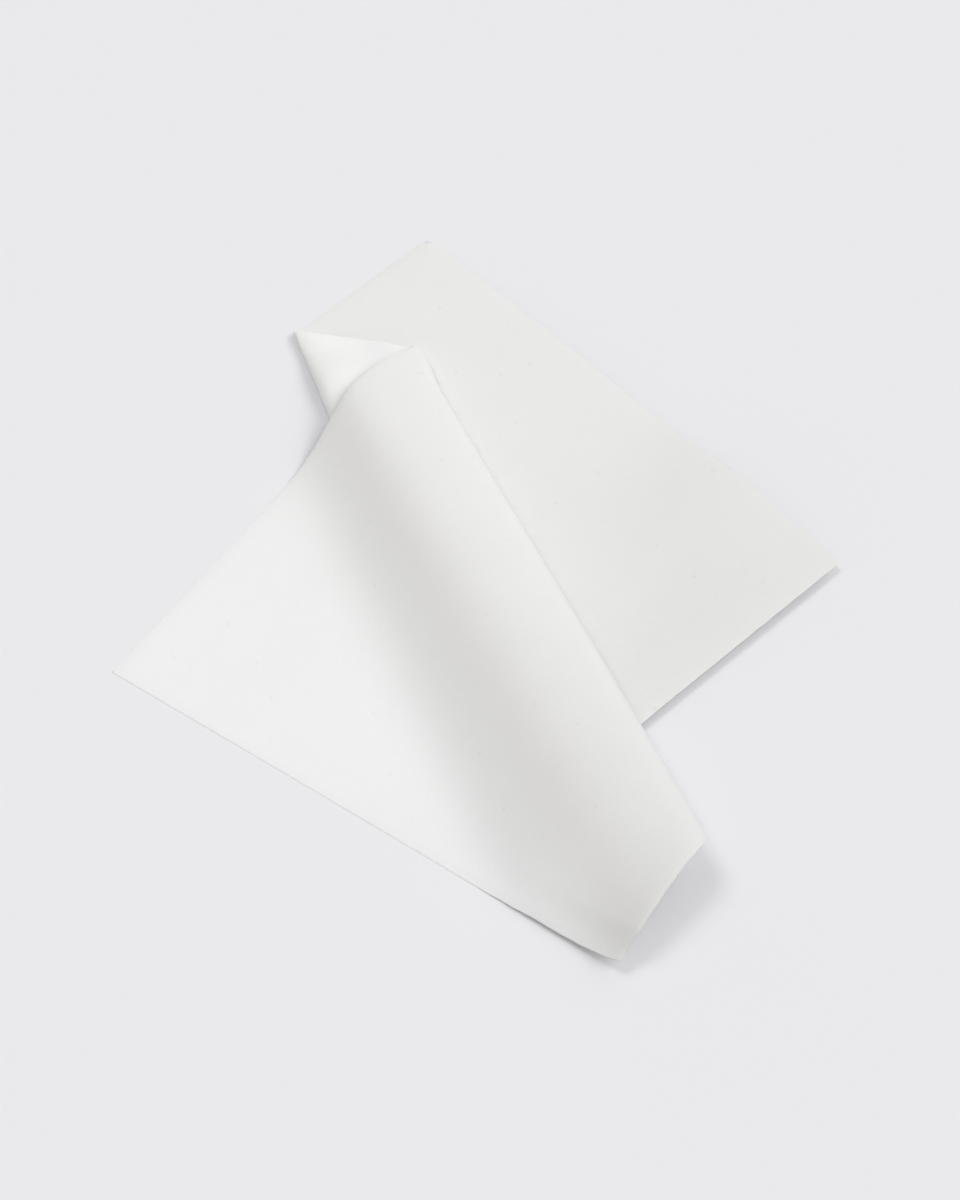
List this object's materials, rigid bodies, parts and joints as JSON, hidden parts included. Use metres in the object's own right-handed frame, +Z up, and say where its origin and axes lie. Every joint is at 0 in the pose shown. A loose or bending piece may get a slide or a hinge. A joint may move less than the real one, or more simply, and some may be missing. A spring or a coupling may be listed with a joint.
{
  "type": "wet wipe",
  "caption": "A single moist nonwoven wipe, lying on a table in a soft, skewed S-fold with a raised ridge.",
  "frame": {"origin": "middle of the bounding box, at the underside, on the surface that the wipe lies on", "axes": "+Z up; +Y along the ridge to its low, far end, where the fold lines draw together; +X to the right, towards the part of the sheet that lies under the ridge"},
  "size_m": [0.1784, 0.2276, 0.0162],
  "materials": {
    "nonwoven_cloth": "matt, soft and slightly moist"
  },
  "bodies": {
    "root": {"wipe_sheet": "nonwoven_cloth"}
  },
  "joints": []
}
